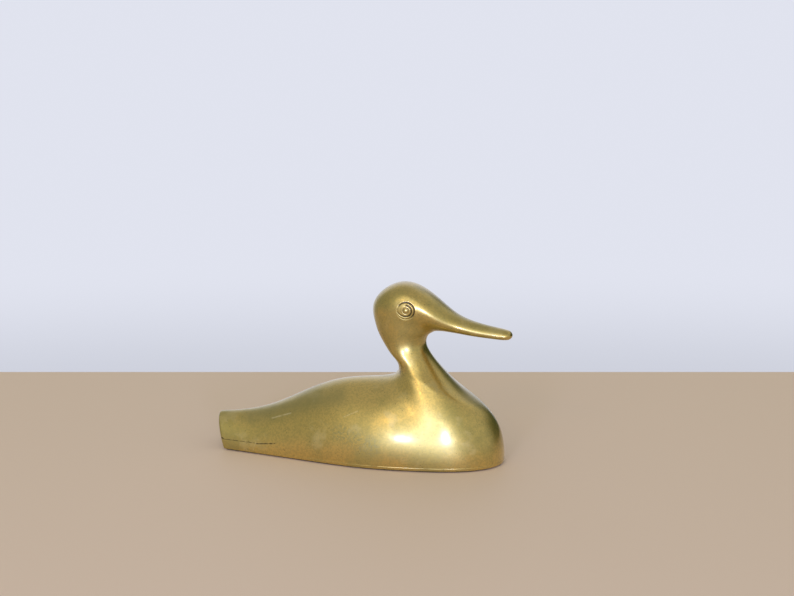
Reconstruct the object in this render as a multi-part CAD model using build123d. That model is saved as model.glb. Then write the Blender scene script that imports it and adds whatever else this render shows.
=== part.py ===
from build123d import *
import os

# A cast brass duck ornament, sitting low on a flat base, with its bill to +X and its back to +Z.
# The trunk and breast are one hollow casting. The neck, head and bill are another, brazed onto it at
# the crease behind the neck. A brass plate closes the hollow, and a felt pad is glued under the plate.
# The origin is on the table, under the middle of the duck, and Y runs across it.

# Overall sizes
duck_length = 165.0
duck_height = 98.0
trunk_width = 59.0
neck_width = 23.0
head_width = 28.0
bill_width = 11.0

# Wall of the trunk casting, plate and pad
casting_wall = 3.0
plate_thickness = 1.6
vent_diameter = 3.0
felt_thickness = 0.8
felt_inset = 1.6

# Joint between the two castings: a round pin on the head casting in a socket in the trunk
joint_height_share = 0.536
pin_middle_share = 0.188
pin_diameter = 11.0
pin_length = 8.0
pin_chamfer = 0.8
pin_end_gap = 0.3
braze_gap = 0.05
boss_wall = 4.0

# Rounded edge of the tail end and of the bill tip
tail_edge_radius = 1.0
bill_tip_radius = 1.0

# Eyes: two rings cut into each side of the head, round a raised pupil
eye_length_share = 0.1636
eye_height_share = 0.8675
outer_ring_radius = 4.65
inner_ring_radius = 3.3
ring_groove_width = 0.6
ring_groove_depth = 0.35
pupil_radius = 1.45
pupil_rise = 0.35

# Joint, pin and eyes stand at shares of duck_length along the duck and of duck_height up it
joint_height = joint_height_share * duck_height
pin_middle_x = pin_middle_share * duck_length
eye_x = eye_length_share * duck_length
eye_z = eye_height_share * duck_height

# Sections of the outer form. Each runs from the back of the bird (x, z) to its belly side (x, z).
# x is a share of duck_length, z of duck_height, and the half width a share of half the width named
# for its group. The last value is how far down the section its widest place lies. The first section
# is the slanting tail end, the next ones stand across the trunk, and then they swing round the crease
# behind the neck, up the neck, round the chin and out along the bill.
trunk_shares = (
    (-0.501, 0.200, -0.457, -0.080, 0.350, 0.60),
    (-0.420, 0.215, -0.395, -0.100, 0.430, 0.60),
    (-0.323, 0.256, -0.312, -0.125, 0.540, 0.60),
    (-0.198, 0.352, -0.198, -0.165, 0.695, 0.59),
    (-0.064, 0.433, -0.064, -0.195, 0.870, 0.58),
    (0.044, 0.454, 0.052, -0.205, 0.970, 0.57),
    (0.094, 0.468, 0.220, -0.195, 0.980, 0.56),
    (0.114, 0.488, 0.452, -0.115, 0.860, 0.52),
    (0.122, 0.506, 0.476, 0.085, 0.740, 0.50),
    (0.1255, 0.5255, 0.434, 0.272, 0.620, 0.44),
    (0.1225, 0.551, 0.345, 0.389, 0.515, 0.41),
    (0.1105, 0.582, 0.278, 0.499, 0.447, 0.42),
)
neck_shares = (
    (0.0925, 0.616, 0.2345, 0.588, 1.025, 0.43),
    (0.0735, 0.662, 0.2145, 0.652, 0.970, 0.46),
)
head_shares = (
    (0.0555, 0.718, 0.2165, 0.692, 0.835, 0.47),
    (0.0425, 0.786, 0.2235, 0.711, 0.890, 0.48),
    (0.0385, 0.869, 0.232, 0.722, 0.945, 0.46),
    (0.068, 0.948, 0.242, 0.731, 1.000, 0.41),
    (0.135, 0.999, 0.254, 0.735, 1.000, 0.42),
    (0.205, 0.967, 0.273, 0.736, 0.890, 0.48),
    (0.260, 0.903, 0.297, 0.733, 0.730, 0.53),
)
bill_shares = (
    (0.316, 0.834, 0.330, 0.726, 1.440, 0.55),
    (0.379, 0.793, 0.383, 0.714, 1.140, 0.57),
    (0.438, 0.771, 0.438, 0.706, 0.960, 0.58),
    (0.482, 0.7565, 0.482, 0.703, 0.800, 0.56),
    (0.500, 0.7475, 0.500, 0.7085, 0.480, 0.54),
)
hollow_stations = 10

# A cubic curve bulges to 3/4 of its two pulls, and moves its widest place down by 3/8 of their lean
bulge_of_pull = 3 / 4
lean_per_share = 8 / 3

across = Vector(0, 1, 0)
upward_from = (Align.CENTER, Align.CENTER, Align.MIN)


def stations():
    """Every section of the outer form as (back point, belly point, half width, widest share)."""
    groups = (
        (trunk_shares, trunk_width),
        (neck_shares, neck_width),
        (head_shares, head_width),
        (bill_shares, bill_width),
    )
    for shares, width in groups:
        for back_x, back_z, belly_x, belly_z, half, widest in shares:
            back = Vector(back_x * duck_length, 0, back_z * duck_height)
            belly = Vector(belly_x * duck_length, 0, belly_z * duck_height)
            yield back, belly, half * width / 2, widest


def side(back, belly, half_width, widest):
    """One side of an egg-shaped section, from its back point round to its belly point."""
    lean = (0.5 - widest) * lean_per_share
    reach = across * (half_width / bulge_of_pull)
    return Bezier(back, back + reach * (1 + lean), belly + reach * (1 - lean), belly)


def lump(outlines):
    """A smooth closed lump through a row of sections, with one side the mirror of the other."""
    far_side = Shell.make_loft([Wire([side(*outline)]) for outline in outlines])
    ends = []
    for outline in (outlines[0], outlines[-1]):
        half = side(*outline)
        ends.append(Face(Wire([half, half.mirror(Plane.XZ)])))
    return Solid(Shell([*far_side.faces(), *far_side.mirror(Plane.XZ).faces(), *ends]))


def drawn_in(station, distance):
    """The same section made smaller by a distance on every side."""
    back, belly, half_width, widest = station
    down = (belly - back).normalized() * distance
    return back + down, belly - down, half_width - distance, widest


def slab(bottom, top):
    """Everything between two heights."""
    size = 2 * duck_length
    return Pos(0, 0, bottom) * Box(size, size, top - bottom, align=upward_from)


def pin(bottom, top, radius):
    """A round upright on the axis of the pin and its socket, between two heights."""
    return Pos(pin_middle_x, 0, bottom) * Cylinder(radius, top - bottom, align=upward_from)


def outer_form():
    """The whole bird as one smooth lump, reaching below the table, with both of its ends rounded."""
    bird = lump(list(stations()))
    ends = bird.faces().filter_by(GeomType.PLANE).sort_by(Axis.X)
    bird = bird.fillet(tail_edge_radius, ends[0].edges())
    return bird.fillet(bill_tip_radius, ends[1].edges())


def inner_lump(distance):
    """The trunk drawn in by a distance on every side and at its tail end, up to the root of the neck."""
    outlines = [drawn_in(station, distance) for station in stations()][:hollow_stations]
    back, belly, half_width, widest = outlines[0]
    forward = Vector(distance, 0, 0)
    outlines[0] = (back + forward, belly + forward, half_width, widest)
    return lump(outlines)


def ring_tube(radius):
    """A thin upright wall round the eyes' axis, right through the head, as wide as a ring's groove."""
    reach = 2 * head_width
    wall = Cylinder(radius + ring_groove_width / 2, reach)
    wall -= Cylinder(radius - ring_groove_width / 2, reach)
    return Plane(origin=(eye_x, 0, eye_z), z_dir=across) * wall


def with_eyes(head, grooved_to):
    """The head with both eyes: rings cut down to the lump under its skin, and pupils on the skin."""
    pupil_curve = (pupil_radius**2 + pupil_rise**2) / (2 * pupil_rise)
    pupils = []
    for point, normal in head.find_intersection_points(Axis((eye_x, 0, eye_z), across)):
        outward = normal if normal.Y * point.Y > 0 else -normal
        pupils.append(Pos(point + outward * (pupil_rise - pupil_curve)) * Sphere(pupil_curve))
    for radius in (outer_ring_radius, inner_ring_radius):
        head -= ring_tube(radius) - grooved_to
    return head + pupils


plate_bottom = felt_thickness
plate_top = plate_bottom + plate_thickness
bird = outer_form()

under_skin = lump([drawn_in(station, ring_groove_depth) for station in stations()])
head_casting = with_eyes(bird & slab(joint_height, 2 * duck_height), under_skin)
head_pin = pin(joint_height - pin_length, joint_height, pin_diameter / 2)
head_pin = chamfer(head_pin.edges().group_by(Axis.Z)[0], pin_chamfer)
head_casting += head_pin

socket_bottom = joint_height - pin_length - pin_end_gap
boss = pin(socket_bottom - boss_wall, joint_height, pin_diameter / 2 + boss_wall)
body_casting = bird & slab(plate_top, joint_height)
body_casting -= inner_lump(casting_wall) - boss
body_casting -= pin(socket_bottom, joint_height, pin_diameter / 2 + braze_gap)

base_plate = bird & slab(plate_bottom, plate_top)
vent = Cylinder(vent_diameter / 2, 2 * plate_top)
base_plate -= vent

felt_pad = inner_lump(felt_inset) & slab(0, felt_thickness)

pieces = {
    "body_casting": body_casting,
    "head_casting": head_casting,
    "base_plate": base_plate,
    "felt_pad": felt_pad,
}
os.makedirs("parts", exist_ok=True)
for name, piece in pieces.items():
    export_step(piece, f"parts/{name}.step")
    print(name, piece.is_valid, round(piece.volume), piece.bounding_box())
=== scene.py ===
import math

import bmesh
import bpy
import numpy as np
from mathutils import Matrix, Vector, noise


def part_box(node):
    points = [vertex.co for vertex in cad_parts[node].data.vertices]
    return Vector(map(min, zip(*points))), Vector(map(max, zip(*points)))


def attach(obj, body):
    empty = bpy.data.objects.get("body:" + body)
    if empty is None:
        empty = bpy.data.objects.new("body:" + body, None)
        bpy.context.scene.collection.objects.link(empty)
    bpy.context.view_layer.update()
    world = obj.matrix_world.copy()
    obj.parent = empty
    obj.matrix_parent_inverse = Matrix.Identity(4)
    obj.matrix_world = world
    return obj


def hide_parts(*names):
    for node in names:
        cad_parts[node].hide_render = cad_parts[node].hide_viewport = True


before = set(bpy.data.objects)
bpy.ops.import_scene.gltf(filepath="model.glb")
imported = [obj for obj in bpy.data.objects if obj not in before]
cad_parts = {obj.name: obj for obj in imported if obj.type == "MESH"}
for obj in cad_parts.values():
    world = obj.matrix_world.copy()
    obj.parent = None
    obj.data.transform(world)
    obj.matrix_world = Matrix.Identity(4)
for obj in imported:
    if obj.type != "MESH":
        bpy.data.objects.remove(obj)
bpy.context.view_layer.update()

# The table and the room.
# A pale oak table top with its far edge close behind the duck, and beyond it a pale lilac wall. The
# rest of the room is duller: olive towards the camera, brown on the left and dark green on the right.
# The brass mirrors all of it.
camera_place = (0.23422, -0.93939, 0.29388)
camera_turn = math.radians(12.897)
camera_tilt = math.radians(77.990)
table_reach = 0.1835
table_front = 0.60
table_half_width = 0.75
table_slab = 0.028
table_edge_rounding = 0.0015
table_colour = (0.80, 0.65, 0.52, 1)
wall_colour = (0.75, 0.77, 0.86, 1)
low_wall_colour = (0.60, 0.62, 0.70, 1)
camera_side_colour = (0.84, 0.80, 0.60, 1)
low_camera_side_colour = (0.52, 0.47, 0.30, 1)
right_side_colour = (0.62, 0.61, 0.54, 1)
left_side_colour = (0.39, 0.38, 0.30, 1)
window_glow_colour = (1.28, 1.24, 1.08, 1)
window_direction = (0.06, -0.90, 0.43)
ceiling_colour = (0.48, 0.46, 0.40, 1)
dark_corner_colour = (0.04, 0.06, 0.02, 1)
room_floor_colour = (0.20, 0.16, 0.12, 1)

lens = bpy.data.cameras.new("photo_camera")
lens.lens = 82.61
lens.sensor_width = 36
lens.clip_start = 0.01
camera = bpy.data.objects.new("photo_camera", lens)
camera.location = camera_place
camera.rotation_euler = (camera_tilt, 0, camera_turn)
bpy.context.scene.collection.objects.link(camera)
bpy.context.scene.camera = camera
bpy.context.scene.view_settings.view_transform = "Standard"


def feed(tree, value, socket):
    """Gives a socket a plain value, or links another node's output to it."""
    if isinstance(value, bpy.types.NodeSocket):
        tree.links.new(value, socket)
    else:
        socket.default_value = value


def ramped(tree, value, low, high):
    """0 below the low value, 1 above the high one, and smooth between them."""
    node = tree.nodes.new("ShaderNodeMapRange")
    node.interpolation_type = "SMOOTHSTEP"
    node.inputs["From Min"].default_value = low
    node.inputs["From Max"].default_value = high
    feed(tree, value, node.inputs["Value"])
    return node.outputs[0]


def blended(tree, factor, first, second):
    """A colour that goes from the first to the second as the factor goes from 0 to 1."""
    node = tree.nodes.new("ShaderNodeMix")
    node.data_type = "RGBA"
    feed(tree, factor, node.inputs["Factor"])
    feed(tree, first, node.inputs[6])
    feed(tree, second, node.inputs[7])
    return node.outputs[2]


def worked_out(tree, rule, first, second=0.0):
    """The sum, product or other plain rule of two numbers."""
    node = tree.nodes.new("ShaderNodeMath")
    node.operation = rule
    feed(tree, first, node.inputs[0])
    feed(tree, second, node.inputs[1])
    return node.outputs[0]


def new_material(name):
    """A material with one shader, and the place on the object to paint it by."""
    material = bpy.data.materials.new(name)
    material.use_nodes = True
    tree = material.node_tree
    tree.nodes.clear()
    shader = tree.nodes.new("ShaderNodeBsdfPrincipled")
    output = tree.nodes.new("ShaderNodeOutputMaterial")
    tree.links.new(shader.outputs[0], output.inputs[0])
    place = tree.nodes.new("ShaderNodeTexCoord").outputs["Object"]
    return material, tree, shader, place


table_paint, tree, shader, place = new_material("pale_table_top")
shader.inputs["Base Color"].default_value = table_colour
shader.inputs["Roughness"].default_value = 0.60
shader.inputs["Specular IOR Level"].default_value = 0.15

slab = bmesh.new()
bmesh.ops.create_cube(slab, size=1)
for vertex in slab.verts:
    vertex.co.x *= 2 * table_half_width
    vertex.co.y = table_reach if vertex.co.y > 0 else -table_front
    vertex.co.z = 0 if vertex.co.z > 0 else -table_slab
bmesh.ops.bevel(slab, geom=list(slab.edges), offset=table_edge_rounding, segments=3, affect="EDGES")
table_mesh = bpy.data.meshes.new("table_top")
slab.to_mesh(table_mesh)
slab.free()
table_mesh.materials.append(table_paint)
table = bpy.data.objects.new("table_top", table_mesh)
table.rotation_euler.z = camera_turn
bpy.context.scene.collection.objects.link(table)

world = bpy.data.worlds.new("plain_room")
world.use_nodes = True
bpy.context.scene.world = world
tree = world.node_tree
tree.nodes.clear()
where = tree.nodes.new("ShaderNodeTexCoord")
axes = tree.nodes.new("ShaderNodeSeparateXYZ")
tree.links.new(where.outputs["Generated"], axes.inputs[0])
rightward, backward, upward = axes.outputs

# Each colour fills the directions between two limits, as shares of a step right, back and up.
wall = blended(tree, ramped(tree, upward, -0.26, -0.19), low_wall_colour, wall_colour)
sides = blended(tree, ramped(tree, upward, 0.0, 0.35), low_camera_side_colour, camera_side_colour)
sides = blended(tree, ramped(tree, rightward, 0.40, 0.85), sides, right_side_colour)
sides = blended(tree, ramped(tree, rightward, -0.25, -0.70), sides, left_side_colour)
to_back = ramped(tree, backward, 0.35, 0.62)
to_wall = worked_out(tree, "MULTIPLY", to_back, ramped(tree, rightward, 0.45, 0.15))
around = blended(tree, to_wall, sides, wall)
overhead = blended(tree, ramped(tree, upward, 0.45, 0.85), around, ceiling_colour)
corner_share = ramped(tree, upward, 0.62, 0.28)
corner_share = worked_out(tree, "MULTIPLY", corner_share, ramped(tree, rightward, 0.05, 0.25))
corner_share = worked_out(tree, "MULTIPLY", corner_share, ramped(tree, backward, -0.05, 0.45))
overhead = blended(tree, corner_share, overhead, dark_corner_colour)

# A soft window glow lies round one direction, above the camera.
towards_window = tree.nodes.new("ShaderNodeVectorMath")
towards_window.operation = "DOT_PRODUCT"
towards_window.inputs[1].default_value = window_direction
tree.links.new(where.outputs["Generated"], towards_window.inputs[0])
glow_share = ramped(tree, towards_window.outputs["Value"], 0.76, 0.97)
overhead = blended(tree, glow_share, overhead, window_glow_colour)
everything = blended(tree, ramped(tree, upward, -0.75, -0.35), room_floor_colour, overhead)
background = tree.nodes.new("ShaderNodeBackground")
room = tree.nodes.new("ShaderNodeOutputWorld")
tree.links.new(everything, background.inputs[0])
tree.links.new(background.outputs[0], room.inputs[0])

# The lamps.
# Two small soft lamps stand in front of the duck, a little above the table, and a faint warm bulb
# hangs higher up. They give the pair of highlights on the breast and the ones on the neck and cheek.
lamp_colour = (0.88, 0.95, 1.65)
lamps_aim = Vector((0.02, 0, 0.03))
# Degrees to the right and up as seen from the duck's side, distance, width, power and colour
lamp_table = (
    ("left_lamp", -3.0, 8.8, 1.5, 0.18, 3.2, lamp_colour),
    ("right_lamp", 19.5, 6.6, 1.5, 0.22, 4.2, lamp_colour),
    ("warm_bulb", -13.0, 32.0, 1.5, 0.08, 0.55, (1, 0.58, 0.18)),
)
for name, turn, rise, distance, width, power, colour in lamp_table:
    light = bpy.data.lights.new(name, "AREA")
    light.shape = "DISK"
    light.size = width
    light.energy = power
    light.color = colour
    lamp = bpy.data.objects.new(name, light)
    turn, rise = math.radians(turn), math.radians(rise)
    away = Vector((math.sin(turn) * math.cos(rise), -math.cos(turn) * math.cos(rise), math.sin(rise)))
    lamp.location = lamps_aim + away * distance
    lamp.rotation_euler = away.to_track_quat("Z", "Y").to_euler()
    bpy.context.scene.collection.objects.link(lamp)

# The trunk casting.
# A hollow brass casting of trunk and breast, ground smooth and polished by hand. Its skin runs on
# without a step into the neck, so the whole bird is shaped here once and then cut at the joint.
duck_length = 0.165
duck_height = 0.098
trunk_width = 0.059
neck_width = 0.023
head_width = 0.028
bill_width = 0.011

# Sections of the outer form, from the tail end to the bill tip. Each runs from the back of the bird
# (x, z) to its belly (x, z), as shares of length and height. Then come the half width, as a share of
# half the width named for its group, and how far down the section its widest place lies.
trunk_shares = (
    (-0.501, 0.200, -0.457, -0.080, 0.350, 0.60),
    (-0.420, 0.215, -0.395, -0.100, 0.430, 0.60),
    (-0.323, 0.256, -0.312, -0.125, 0.540, 0.60),
    (-0.198, 0.352, -0.198, -0.165, 0.695, 0.59),
    (-0.064, 0.433, -0.064, -0.195, 0.870, 0.58),
    (0.044, 0.454, 0.052, -0.205, 0.970, 0.57),
    (0.094, 0.468, 0.220, -0.195, 0.980, 0.56),
    (0.114, 0.488, 0.452, -0.115, 0.860, 0.52),
    (0.122, 0.506, 0.476, 0.085, 0.740, 0.475),
    (0.1255, 0.5255, 0.434, 0.272, 0.605, 0.41),
    (0.1225, 0.551, 0.345, 0.389, 0.545, 0.49),
    (0.1105, 0.582, 0.278, 0.499, 0.442, 0.46),
)
neck_shares = (
    (0.0925, 0.616, 0.2345, 0.588, 1.025, 0.43),
    (0.0735, 0.662, 0.2145, 0.652, 0.970, 0.46),
)
head_shares = (
    (0.0555, 0.718, 0.2165, 0.692, 0.835, 0.47),
    (0.0425, 0.786, 0.2235, 0.711, 0.890, 0.48),
    (0.0385, 0.869, 0.232, 0.722, 0.945, 0.46),
    (0.068, 0.948, 0.242, 0.731, 1.000, 0.41),
    (0.135, 0.999, 0.254, 0.735, 1.000, 0.42),
    (0.205, 0.967, 0.273, 0.736, 0.890, 0.48),
    (0.260, 0.903, 0.297, 0.733, 0.730, 0.53),
)
bill_shares = (
    (0.316, 0.834, 0.330, 0.726, 1.440, 0.55),
    (0.379, 0.793, 0.383, 0.714, 1.140, 0.57),
    (0.438, 0.771, 0.438, 0.706, 0.960, 0.58),
    (0.482, 0.7565, 0.482, 0.703, 0.800, 0.56),
    (0.500, 0.7475, 0.500, 0.7085, 0.480, 0.54),
)

# A cubic curve bulges to 3/4 of its two pulls, and moves its widest place down by 3/8 of their lean.
bulge_of_pull = 3 / 4
lean_per_share = 8 / 3

section_rows = []
for shares, width in (
    (trunk_shares, trunk_width),
    (neck_shares, neck_width),
    (head_shares, head_width),
    (bill_shares, bill_width),
):
    for back_x, back_z, belly_x, belly_z, half, widest in shares:
        pull = half * width / 2 / bulge_of_pull
        lean = (0.5 - widest) * lean_per_share
        section_rows.append(
            (
                back_x * duck_length,
                back_z * duck_height,
                belly_x * duck_length,
                belly_z * duck_height,
                pull * (1 + lean),
                pull * (1 - lean),
            )
        )
section_rows = np.array(section_rows)


def even_curve(places, values):
    """A smooth curve through rows of values, with its bend running on evenly at both ends."""
    count = len(places)
    step = np.diff(places)
    slope = np.diff(values, axis=0) / step[:, None]
    system = np.zeros((count, count))
    right = np.zeros((count, values.shape[1]))
    for i in range(1, count - 1):
        system[i, i - 1 : i + 2] = step[i - 1], 2 * (step[i - 1] + step[i]), step[i]
        right[i] = 6 * (slope[i] - slope[i - 1])
    system[0, :3] = step[1], -step[0] - step[1], step[0]
    system[-1, -3:] = step[-1], -step[-2] - step[-1], step[-2]
    bend = np.linalg.solve(system, right)

    def at(where_along):
        i = np.clip(np.searchsorted(places, where_along) - 1, 0, count - 2)
        past = (where_along - places[i])[:, None]
        gap = step[i][:, None]
        third = (bend[i + 1] - bend[i]) / (6 * gap)
        first = slope[i] - gap * (2 * bend[i] + bend[i + 1]) / 6
        return values[i] + past * (first + past * (bend[i] / 2 + past * third))

    return at


# The two ends of a section count once, and their two pulls sideways, so that rows lie evenly.
spread = section_rows[:, [0, 1, 0, 1, 4, 2, 3, 5, 2, 3]]
row_gaps = np.linalg.norm(np.diff(spread, axis=0), axis=1)
row_places = np.concatenate([[0], np.cumsum(row_gaps)])
sections_at = even_curve(row_places, section_rows)


def section_points(rows, levels):
    """Points on the +Y side of each section, from its back at level 0 to its belly at level 1."""
    level = np.asarray(levels)[None, :]
    rest = 1 - level
    back_part = rest**3 + 3 * rest**2 * level
    belly_part = level**3 + 3 * level**2 * rest
    row = rows[:, :, None]
    x = row[:, 0] * back_part + row[:, 2] * belly_part
    z = row[:, 1] * back_part + row[:, 3] * belly_part
    y = 3 * rest**2 * level * row[:, 4] + 3 * rest * level**2 * row[:, 5]
    return np.stack([x, y, z], axis=2)


# Rows and levels of points lie closer together where the eyes are cut. Steps are in metres, and
# counts of levels are for a whole section from back to belly.
eye_place = (0.1636 * duck_length, 0.8675 * duck_height)
eye_level = 0.467
eye_zone = 0.0062
eye_step = 0.00021
plain_step = 0.0011
eye_band_middle = 0.468
eye_band_half = 0.125
eye_levels = 52 / 0.21
plain_levels = 66 / 0.8
tail_rounding = 0.0011
tip_rounding = 0.0024
end_clearance = 0.0004

fine_count = 6001
bill_end = slice(-900, None)
fine_places = np.linspace(0, row_places[-1], fine_count)
fine_rows = sections_at(fine_places)
fine_eye = section_points(fine_rows, [eye_level])[:, 0]
stride = fine_places[1]
end_speed = np.maximum(
    np.hypot(*np.gradient(fine_rows[:, 0:2], stride, axis=0).T),
    np.hypot(*np.gradient(fine_rows[:, 2:4], stride, axis=0).T),
)
eye_speed = np.linalg.norm(np.gradient(fine_eye, stride, axis=0), axis=1)
eye_gap = np.hypot(fine_eye[:, 0] - eye_place[0], fine_eye[:, 2] - eye_place[1])


def spaced_out(samples, density):
    """Places along a row of samples that lie as densely as asked."""
    between = (density[1:] + density[:-1]) / 2 * np.diff(samples)
    count = np.concatenate([[0], np.cumsum(between)])
    return np.interp(np.linspace(0, count[-1], int(count[-1])), count, samples)


skin_run = np.cumsum(eye_speed) * stride
first_place = np.interp(tail_rounding, skin_run, fine_places)
last_place = np.interp(duck_length / 2 - tip_rounding, fine_rows[bill_end, 0], fine_places[bill_end])
places = spaced_out(fine_places, np.where(eye_gap < eye_zone, eye_speed / eye_step, end_speed / plain_step))
places = places[(places > first_place + end_clearance) & (places < last_place - end_clearance)]
level_samples = np.linspace(0, 1, 2001)
by_eye = abs(level_samples - eye_band_middle) < eye_band_half
levels = spaced_out(level_samples, np.where(by_eye, eye_levels, plain_levels))

main_rings = section_points(sections_at(places), levels)

# The tail end: the skin turns over a small rounding onto a flat end that slopes under.
tail_rings = []
for turned in np.radians([90, 72, 54, 36, 18, 0]):
    inside = tail_rounding * (1 - math.sin(turned))
    place = np.interp(inside, skin_run, fine_places)
    ring = section_points(sections_at(np.array([place])), levels)[0]
    along = np.gradient(ring, axis=0)
    down = ring[-1] - ring[0]
    outward = np.cross(np.cross(down, (0, 1, 0)), along)
    outward /= np.linalg.norm(outward, axis=1)[:, None]
    outward *= np.sign(outward[len(outward) // 2, 1])
    ring = ring - outward * tail_rounding * (1 - math.cos(turned))
    ring[[0, -1], 1] = 0
    tail_rings.append(ring)
flat_end = tail_rings[0]
end_middle = flat_end[[0, -1]].mean(axis=0)
end_shares = (0.03, 0.12, 0.25, 0.4, 0.55, 0.7, 0.85)
end_rings = [end_middle + (flat_end - end_middle) * share for share in end_shares]
tail_rings = np.array(end_rings + tail_rings)

# The bill tip: the last few millimetres close in a blunt round end.
tip_bluntness = 0.8
tip_rings = []
for turned in np.radians([0, 14, 28, 42, 54, 65, 74, 82, 87]):
    x_now = duck_length / 2 - tip_rounding * (1 - math.sin(turned))
    place = np.interp(x_now, fine_rows[bill_end, 0], fine_places[bill_end])
    ring = section_points(sections_at(np.array([place])), levels)[0]
    middle = ring[[0, -1]].mean(axis=0)
    tip_rings.append(middle + (ring - middle) * math.cos(turned) ** tip_bluntness)
tip_rings = np.array(tip_rings)

half_skin = np.concatenate([tail_rings, main_rings, tip_rings])
other_half = half_skin[:, -2:0:-1] * np.array([1, -1, 1])
skin = np.concatenate([half_skin, other_half], axis=1)
ring_count, ring_size = skin.shape[:2]
points = skin.reshape(-1, 3)
tail_point = len(points)
tip_point = tail_point + 1
points = np.concatenate([points, [skin[0].mean(axis=0)], [skin[-1].mean(axis=0)]])
points[tip_point, 0] = duck_length / 2

ring_starts = np.arange(ring_count - 1)[:, None] * ring_size
corner = ring_starts + np.arange(ring_size)
beside = ring_starts + (np.arange(ring_size) + 1) % ring_size
quads = np.stack([corner, beside, beside + ring_size, corner + ring_size], axis=2).reshape(-1, 4)
faces = quads.tolist()
last_ring = (ring_count - 1) * ring_size
for i in range(ring_size):
    after = (i + 1) % ring_size
    faces.append([tail_point, after, i])
    faces.append([tip_point, last_ring + i, last_ring + after])

whole_mesh = bpy.data.meshes.new("whole_bird")
whole_mesh.from_pydata(points.tolist(), [], faces)
whole_mesh.update()
normals = np.zeros(len(points) * 3)
whole_mesh.vertex_normals.foreach_get("vector", normals)
normals = normals.reshape(-1, 3)
if normals[np.argmax(points[:, 2]), 2] < 0:
    whole_mesh.flip_normals()
    normals = -normals

# Each eye is two rings struck with a punch round a raised dot in a shallow moat. How hard the punch
# bit and how wide the inner ring runs are given by degrees round the eye, from where the punch began.
near_eye_start = 100
far_eye_start = 60
outer_ring_radius = 0.00465
outer_ring_sway = 0.00008
outer_bite = (
    (0, 0.9), (20, 1), (130, 1), (160, 0.45), (215, 0.4), (250, 0.3), (300, 0.12), (320, 0.7), (360, 0.9),
)
inner_bite = (
    (0, 0.15), (12, 0.7), (25, 0.9), (110, 1), (140, 1), (235, 0.9), (262, 0.5), (275, 0.15), (360, 0.12),
)
inner_ring_radius = (
    (0, 0.0031), (190, 0.00315), (225, 0.00335), (250, 0.0039), (275, 0.0045), (300, 0.0033), (360, 0.0031),
)
ring_cut_width = 0.00036
ring_cut_depth = 0.00036
# The rings and the moat are coloured darker where they are cut: painted shade in the grooves.
ring_painted_shade = 0.85
ring_lip_height = 0.00006
dot_radius = 0.00125
dot_height = 0.00034
moat_radius = 0.00150
moat_width = 0.00028
moat_depth = 0.00016
moat_painted_shade = 0.5


def punched_eye(side_x, up, far_side):
    """Height and painted groove shade of an eye, by the distances forward of its middle and above it."""
    radius = np.hypot(side_x, up)
    angle = np.degrees(np.arctan2(up, side_x))
    turned = ((far_eye_start if far_side else near_eye_start) - angle) % 360
    outer = outer_ring_radius + outer_ring_sway * np.sin(np.radians(2 * angle + 30))
    inner = np.interp(turned, *zip(*inner_ring_radius))
    height = np.zeros_like(radius)
    groove_shade_and_grime = np.zeros_like(radius)
    for ring_radius, bite in ((outer, outer_bite), (inner, inner_bite)):
        force = np.interp(turned, *zip(*bite))
        off = (radius - ring_radius) / ring_cut_width
        cut = np.exp(-(off**2)) * force
        lip = np.exp(-((abs(off) - 2.0) ** 2) / 0.8) * force
        height += ring_lip_height * lip - ring_cut_depth * cut
        groove_shade_and_grime = np.maximum(groove_shade_and_grime, ring_painted_shade * cut)
    dot = np.clip(1 - (radius / dot_radius) ** 2, 0, 1)
    moat = np.exp(-(((radius - moat_radius) / moat_width) ** 2))
    height += dot_height * dot - moat_depth * moat
    return height, np.maximum(groove_shade_and_grime, moat_painted_shade * moat)


# The eyes reach this far from their middles, and lie further out than this to each side.
eye_reach = 0.0068
cheek = 0.005
relief = np.zeros(len(points))
# Each point's share of painted shade in the eyes' grooves and of grime in the fold behind the neck.
groove_shade_and_grime = np.zeros(len(points))
side_x = points[:, 0] - eye_place[0]
up = points[:, 2] - eye_place[1]
for far_side in (False, True):
    on_side = points[:, 1] > cheek if far_side else points[:, 1] < -cheek
    near = on_side & (np.hypot(side_x, up) < eye_reach)
    relief[near], groove_shade_and_grime[near] = punched_eye(side_x[near], up[near], far_side)

# Hand grinding leaves broad shallow waves, and the fold behind the neck keeps its rough cast skin.
# The scales are in ripples per metre.
crease_place = (0.0232, 0.0515)
crease_reach = 0.0052
broad_scale, broad_depth = 55, 0.00005
ripple_scale, ripple_depth = 140, 0.000008
cast_scale, cast_depth = 700, 0.00004
crease_grime, grime_sway, grime_scale = 0.30, 0.45, 1100
for i, point in enumerate(points):
    spot = Vector(point)
    wave = noise.noise(spot * broad_scale) * broad_depth
    wave += noise.noise(spot * ripple_scale + Vector((3, 1, 7))) * ripple_depth
    from_crease = math.dist((point[0], point[2]), crease_place)
    rough = math.exp(-((from_crease / crease_reach) ** 2))
    if rough > 0.02:
        wave += rough * noise.noise(spot * cast_scale) * cast_depth
        groove_shade_and_grime[i] = max(groove_shade_and_grime[i], rough * (crease_grime + grime_sway * noise.noise(spot * grime_scale)))
    relief[i] += wave
points = points + normals * relief[:, None]
whole_mesh.vertices.foreach_set("co", points.ravel())
whole_mesh.update()
smooth_normals = np.zeros(len(points) * 3)
whole_mesh.vertex_normals.foreach_get("vector", smooth_normals)
whole_mesh.attributes.new("skin_normal", "FLOAT_VECTOR", "POINT").data.foreach_set("vector", smooth_normals)
# The painted groove shade of the eyes and the grime in the fold go with the skin to its material.
whole_mesh.attributes.new("groove_shade_and_grime", "FLOAT", "POINT").data.foreach_set("value", np.clip(groove_shade_and_grime, 0, 1))

# Where two pieces meet on the outside, the filed edge is drawn in and turns over within a narrow band.
edge_band = 0.00030
edge_depth = 0.00014
edge_turn = 0.6


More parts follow.
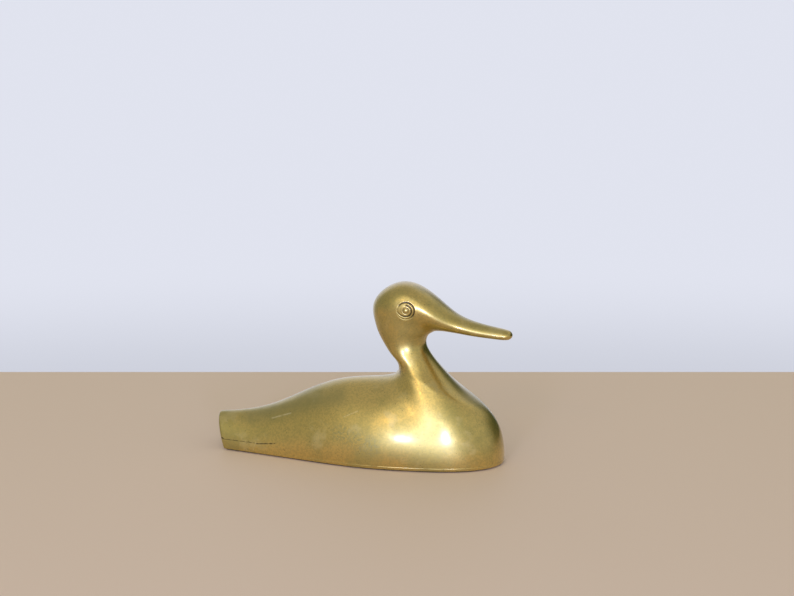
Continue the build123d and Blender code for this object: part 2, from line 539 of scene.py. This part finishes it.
def cut_from_bird(name, lowest, highest, filed_edges=()):
    """A slice of the whole bird between two heights, closed, with its filed edges drawn in a little."""
    work = bmesh.new()
    work.from_mesh(whole_mesh)

    def sawn(height, up, clear):
        everything = [*work.verts, *work.edges, *work.faces]
        place, normal = (0, 0, height), (0, 0, up)
        bmesh.ops.bisect_plane(
            work, geom=everything, dist=1e-8, plane_co=place, plane_no=normal, clear_outer=clear
        )

    for height in filed_edges:
        for near in (-edge_band, edge_band):
            sawn(height + near, 1, False)
    for height, up in ((lowest, -1), (highest, 1)):
        if height is not None:
            sawn(height, up, True)
    skin_normal = work.verts.layers.float_vector["skin_normal"]
    rims = [edge for edge in work.edges if edge.is_boundary]
    for vertex in {vertex for edge in rims for vertex in edge.verts}:
        if any(abs(vertex.co.z - height) < 1e-6 for height in filed_edges):
            outward = vertex[skin_normal]
            vertex.co -= Vector((outward.x, outward.y, 0)).normalized() * edge_depth
            turned_to = edge_turn if vertex.co.z > lowest + 1e-4 else -edge_turn
            vertex[skin_normal] = (outward + Vector((0, 0, turned_to))).normalized()
    bmesh.ops.holes_fill(work, edges=rims, sides=0)
    mesh = bpy.data.meshes.new(name)
    for face in work.faces:
        face.smooth = abs(face.normal.z) < 0.999 or len(face.verts) < 5
    bmesh.ops.triangulate(work, faces=[face for face in work.faces if len(face.verts) > 4])
    work.to_mesh(mesh)
    work.free()
    piece = bpy.data.objects.new(name, mesh)
    bpy.context.scene.collection.objects.link(piece)

    # The slice keeps the whole bird's shading on its skin, so that no seam shows, and is flat where cut.
    stored = np.zeros(len(mesh.vertices) * 3)
    mesh.attributes["skin_normal"].data.foreach_get("vector", stored)
    stored = stored.reshape(-1, 3)
    corner_vertex = np.zeros(len(mesh.loops), dtype=int)
    mesh.loops.foreach_get("vertex_index", corner_vertex)
    corner_normals = stored[corner_vertex]
    for polygon in mesh.polygons:
        level = abs(polygon.normal.z) > 0.999
        if level and polygon.normal.dot(Vector(stored[polygon.vertices[0]])) < 0.9:
            for corner_index in polygon.loop_indices:
                corner_normals[corner_index] = polygon.normal
    mesh.normals_split_custom_set(corner_normals.tolist())
    mesh.attributes.remove(mesh.attributes["skin_normal"])
    return piece


plate_top, joint_height = (end.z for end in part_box("body_casting"))
trunk = cut_from_bird("trunk_casting", plate_top, joint_height, (plate_top,))


def along_line(tree, place, start, end, width):
    """1 on a line between two places (x, z) on the duck's right side, and 0 past its width."""
    run = Vector((end[0] - start[0], 0, end[1] - start[1]))
    flat = tree.nodes.new("ShaderNodeVectorMath")
    flat.operation = "MULTIPLY_ADD"
    tree.links.new(place, flat.inputs[0])
    flat.inputs[1].default_value = (1, 0, 1)
    flat.inputs[2].default_value = (-start[0], 0, -start[1])
    share = tree.nodes.new("ShaderNodeVectorMath")
    share.operation = "DOT_PRODUCT"
    tree.links.new(flat.outputs[0], share.inputs[0])
    share.inputs[1].default_value = run / run.length_squared
    held = tree.nodes.new("ShaderNodeClamp")
    tree.links.new(share.outputs["Value"], held.inputs[0])
    nearest = tree.nodes.new("ShaderNodeVectorMath")
    nearest.operation = "SCALE"
    nearest.inputs[0].default_value = run
    tree.links.new(held.outputs[0], nearest.inputs["Scale"])
    gap = tree.nodes.new("ShaderNodeVectorMath")
    gap.operation = "DISTANCE"
    tree.links.new(flat.outputs[0], gap.inputs[0])
    tree.links.new(nearest.outputs[0], gap.inputs[1])
    parts = tree.nodes.new("ShaderNodeSeparateXYZ")
    tree.links.new(place, parts.inputs[0])
    facing = ramped(tree, parts.outputs[1], 0.0, -0.002)
    return worked_out(tree, "MULTIPLY", ramped(tree, gap.outputs["Value"], width, 0), facing)


def clouds(tree, place, scale, detail=3.0, grain=0.5, stretch=(1, 1, 1), turn=(0, 0, 0)):
    """Soft random clouds from 0 to 1, which can be drawn out and turned into streaks."""
    mapping = tree.nodes.new("ShaderNodeMapping")
    mapping.inputs["Scale"].default_value = stretch
    mapping.inputs["Rotation"].default_value = [math.radians(angle) for angle in turn]
    tree.links.new(place, mapping.inputs["Vector"])
    node = tree.nodes.new("ShaderNodeTexNoise")
    node.inputs["Scale"].default_value = scale
    node.inputs["Detail"].default_value = detail
    node.inputs["Roughness"].default_value = grain
    tree.links.new(mapping.outputs[0], node.inputs["Vector"])
    return node.outputs[0]


def glazed(tree, under, share, strength, over):
    """A colour with another laid over it, where the share is above 0 and as strongly as given."""
    return blended(tree, worked_out(tree, "MULTIPLY", share, strength), under, over)


brass, tree, shader, place = new_material("hand_polished_brass")
bright_brass = (0.68, 0.505, 0.155, 1)
olive_patina = (0.47, 0.385, 0.115, 1)
pale_bloom = (0.66, 0.55, 0.25, 1)
brown_speck = (0.16, 0.11, 0.05, 1)
# The dark colour of grime, which also serves as painted shade in the eyes' grooves.
shade_and_grime_colour = (0.045, 0.034, 0.015, 1)
dark_olive = (0.34, 0.30, 0.11, 1)
# The colour of the painted reflection low on the flank.
reflected_grey_green = (0.30, 0.31, 0.17, 1)
# A fresh brass colour, also used for the painted glint.
fresh_brass_and_glint = (0.95, 0.84, 0.52, 1)
# Scratches on the duck's right side, from one place (x, z) to another, and their width. The last
# of the light ones is no scratch but a painted glint.
light_scratches_and_glint = (
    ((-0.0576, 0.0066), (-0.0591, 0.0023), 0.00040),
    ((-0.0051, 0.0268), (0.0023, 0.0303), 0.00045),
    # A painted glint, drawn like the scratches.
    ((-0.0490, 0.0203), (-0.0375, 0.0244), 0.00060),
)
dark_scratches = (
    ((-0.0771, 0.0063), (-0.0579, 0.0064), 0.00028),
    ((-0.0573, 0.0061), (-0.0456, 0.0077), 0.00050),
    ((-0.0785, 0.0070), (-0.0772, 0.0064), 0.00070),
)

# Colour: bright brass under a cloudy patina, with a fine grain, bloom, specks and scratches on it,
# and a painted glint, a painted reflection and painted shade in the eyes' grooves.
# The eyes' painted groove shade, the grime in the fold and the dark scratches darken the colour together.
groove_shade_and_grime_share = tree.nodes.new("ShaderNodeAttribute")
groove_shade_and_grime_share.attribute_name = "groove_shade_and_grime"
groove_shade_and_grime_share = groove_shade_and_grime_share.outputs["Fac"]
broad = clouds(tree, place, 32, detail=3)
mottled = clouds(tree, place, 190, detail=6, grain=0.68)
patina = worked_out(tree, "ADD", broad, worked_out(tree, "MULTIPLY", mottled, 0.35))
patina = ramped(tree, patina, 0.58, 0.84)
bloom = ramped(tree, clouds(tree, place, 75, detail=5, grain=0.6), 0.56, 0.70)
speckles = ramped(tree, clouds(tree, place, 1500, detail=1), 0.665, 0.72)
speckles = worked_out(tree, "MULTIPLY", speckles, ramped(tree, mottled, 0.48, 0.60))
skin_colour = blended(tree, patina, bright_brass, olive_patina)
grain = ramped(tree, clouds(tree, place, 900, detail=3, grain=0.6), 0.40, 0.62)
skin_colour = glazed(tree, skin_colour, grain, 0.36, dark_olive)
skin_colour = glazed(tree, skin_colour, bloom, 0.45, pale_bloom)
skin_colour = glazed(tree, skin_colour, speckles, 0.8, brown_speck)
band = along_line(tree, place, (-0.062, 0.0205), (-0.010, 0.0360), 0.0075)
skin_colour = glazed(tree, skin_colour, band, 0.60, dark_olive)
# A painted reflection of a yellow-green thing off to the left, broken into flecks, low on the flank.
painted_reflection_patch = along_line(tree, place, (-0.006, 0.0185), (0.012, 0.0130), 0.0085)
reflection_flecks = ramped(tree, clouds(tree, place, 700, detail=3, grain=0.7), 0.47, 0.60)
painted_reflection_patch = worked_out(tree, "MULTIPLY", painted_reflection_patch, reflection_flecks)
skin_colour = glazed(tree, skin_colour, painted_reflection_patch, 0.55, reflected_grey_green)
scratches_and_glint = 0.0
# The light scratches and the painted glint are laid on in fresh brass colour.
for start, end, width in light_scratches_and_glint:
    scratches_and_glint = worked_out(tree, "MAXIMUM", along_line(tree, place, start, end, width), scratches_and_glint)
worn = ramped(tree, clouds(tree, place, 420, detail=3, grain=0.7), 0.22, 0.62)
scratches_and_glint = worked_out(tree, "MULTIPLY", scratches_and_glint, worn)
skin_colour = glazed(tree, skin_colour, scratches_and_glint, 0.6, fresh_brass_and_glint)
for start, end, width in dark_scratches:
    dark_line = worked_out(tree, "MULTIPLY", along_line(tree, place, start, end, width), worn)
    groove_shade_and_grime_share = worked_out(tree, "MAXIMUM", dark_line, groove_shade_and_grime_share)
skin_colour = blended(tree, ramped(tree, groove_shade_and_grime_share, 0.10, 0.75), skin_colour, shade_and_grime_colour)
feed(tree, skin_colour, shader.inputs["Base Color"])

# Polishing marks run mostly along the bird, and some of them across.
long_marks = clouds(tree, place, 1, detail=2, stretch=(90, 90, 5200), turn=(0, 9, 0))
cross_marks = clouds(tree, place, 1, detail=2, stretch=(70, 70, 3600), turn=(0, -38, 12))
marks = ramped(tree, long_marks, 0.60, 0.74)
marks = worked_out(tree, "MAXIMUM", marks, ramped(tree, cross_marks, 0.64, 0.76))

# The polish is duller under patina, bloom, polishing marks, grime and the painted groove shade.
dullness = 0.25
for share, duller in ((patina, 0.10), (bloom, 0.08), (marks, 0.06), (groove_shade_and_grime_share, 0.30), (mottled, 0.10)):
    dullness = worked_out(tree, "ADD", worked_out(tree, "MULTIPLY", share, duller), dullness)
feed(tree, dullness, shader.inputs["Roughness"])
shader.inputs["Metallic"].default_value = 1
shader.inputs["Coat Weight"].default_value = 0.9
shader.inputs["Coat Roughness"].default_value = 0.17
shader.inputs["Coat IOR"].default_value = 1.5

# The marks are cut in and the patina stands up a very little.
height = worked_out(tree, "MULTIPLY", marks, -0.015)
height = worked_out(tree, "ADD", height, worked_out(tree, "MULTIPLY", mottled, 0.12))
unevenness = tree.nodes.new("ShaderNodeBump")
unevenness.inputs["Strength"].default_value = 0.35
unevenness.inputs["Distance"].default_value = 0.00006
feed(tree, height, unevenness.inputs["Height"])
feed(tree, unevenness.outputs[0], shader.inputs["Normal"])
trunk.data.materials.append(brass)
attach(trunk, "root")
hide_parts("body_casting")

# The head casting.
# Neck, head and bill are a second solid brass casting, brazed onto the trunk behind the crease and
# filed flush. Its eyes are struck with a ring punch.
head = cut_from_bird("head_casting_skin", joint_height, None)
head.data.materials.append(brass)
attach(head, "root")
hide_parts("head_casting")

# The base plate.
# A flat plate of brass sheet, 1.6 mm thick, that closes the hollow trunk. It is brazed on, and its
# edge is filed down to the casting's outline.
plate_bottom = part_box("base_plate")[0].z
plate = cut_from_bird("base_plate_skin", plate_bottom, plate_top, (plate_bottom, plate_top))
plate.data.materials.append(brass)
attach(plate, "root")
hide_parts("base_plate")
bpy.data.meshes.remove(whole_mesh)

# The felt pad.
# A dark wool felt, cut with shears a little inside the plate's outline and glued under it. Its cut
# edge is soft and a little uneven, and all the weight rests on it.
felt_inset = 0.0016
glue_gap = 0.00002
felt_points = 260
felt_fuzz = 0.00013
fuzz_along, fuzz_up = 600, 2500
dark_fibre = (0.010, 0.011, 0.009, 1)
pale_fibre = (0.050, 0.046, 0.036, 1)
# Heights down the cut edge, and how far it lies inside the line that was cut along
felt_edge = (
    (plate_bottom - glue_gap, 0.0),
    (0.00064, -0.00008),
    (0.00034, -0.00012),
    (0.00010, -0.00004),
    (0.0, 0.00012),
)
rim = np.array([vertex.co for vertex in plate.data.vertices if abs(vertex.co.z - plate_bottom) < 1e-6])
rim = rim[np.argsort(np.arctan2(rim[:, 1], rim[:, 0]))][:, :2]
apart = np.linalg.norm(rim - np.roll(rim, 1, axis=0), axis=1) > 1e-5
rim = rim[apart]
closed_rim = np.concatenate([rim, rim[:1]])
rim_run = np.concatenate([[0], np.cumsum(np.linalg.norm(np.diff(closed_rim, axis=0), axis=1))])
even = np.linspace(0, rim_run[-1], felt_points, endpoint=False)
outline = np.stack([np.interp(even, rim_run, closed_rim[:, i]) for i in (0, 1)], axis=1)
ahead = np.roll(outline, -2, axis=0) - np.roll(outline, 2, axis=0)
inward = np.stack([-ahead[:, 1], ahead[:, 0]], axis=1) / np.linalg.norm(ahead, axis=1)[:, None]
inward *= np.sign((inward * -outline).sum(axis=1).mean())
felt = bmesh.new()
felt_rings = []
for height, drawn_in in felt_edge:
    ring = []
    for (x, y), side in zip(outline, inward):
        fuzz = felt_fuzz * noise.noise(Vector((x * fuzz_along, y * fuzz_along, height * fuzz_up)))
        spot = Vector((x, y)) + Vector(side) * (felt_inset + drawn_in + fuzz)
        ring.append(felt.verts.new((spot.x, spot.y, height)))
    felt_rings.append(ring)
for upper, lower in zip(felt_rings, felt_rings[1:]):
    for i in range(felt_points):
        after = (i + 1) % felt_points
        felt.faces.new((upper[i], upper[after], lower[after], lower[i])).smooth = True
felt.faces.new(felt_rings[0])
felt.faces.new(felt_rings[-1])
bmesh.ops.triangulate(felt, faces=[face for face in felt.faces if len(face.verts) > 4])
bmesh.ops.recalc_face_normals(felt, faces=felt.faces)
felt_mesh = bpy.data.meshes.new("felt_pad_cloth")
felt.to_mesh(felt_mesh)
felt.free()
felt_pad = bpy.data.objects.new("felt_pad_cloth", felt_mesh)
bpy.context.scene.collection.objects.link(felt_pad)
wool, tree, shader, place = new_material("dark_wool_felt")
fibres = clouds(tree, place, 2600, detail=4, grain=0.7, stretch=(1, 0.35, 1), turn=(0, 0, 25))
feed(tree, blended(tree, fibres, dark_fibre, pale_fibre), shader.inputs["Base Color"])
shader.inputs["Roughness"].default_value = 0.95
shader.inputs["Specular IOR Level"].default_value = 0.2
nap = tree.nodes.new("ShaderNodeBump")
nap.inputs["Strength"].default_value = 0.8
nap.inputs["Distance"].default_value = 0.00015
feed(tree, fibres, nap.inputs["Height"])
feed(tree, nap.outputs[0], shader.inputs["Normal"])
felt_pad.data.materials.append(wool)
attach(felt_pad, "root")
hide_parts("felt_pad")
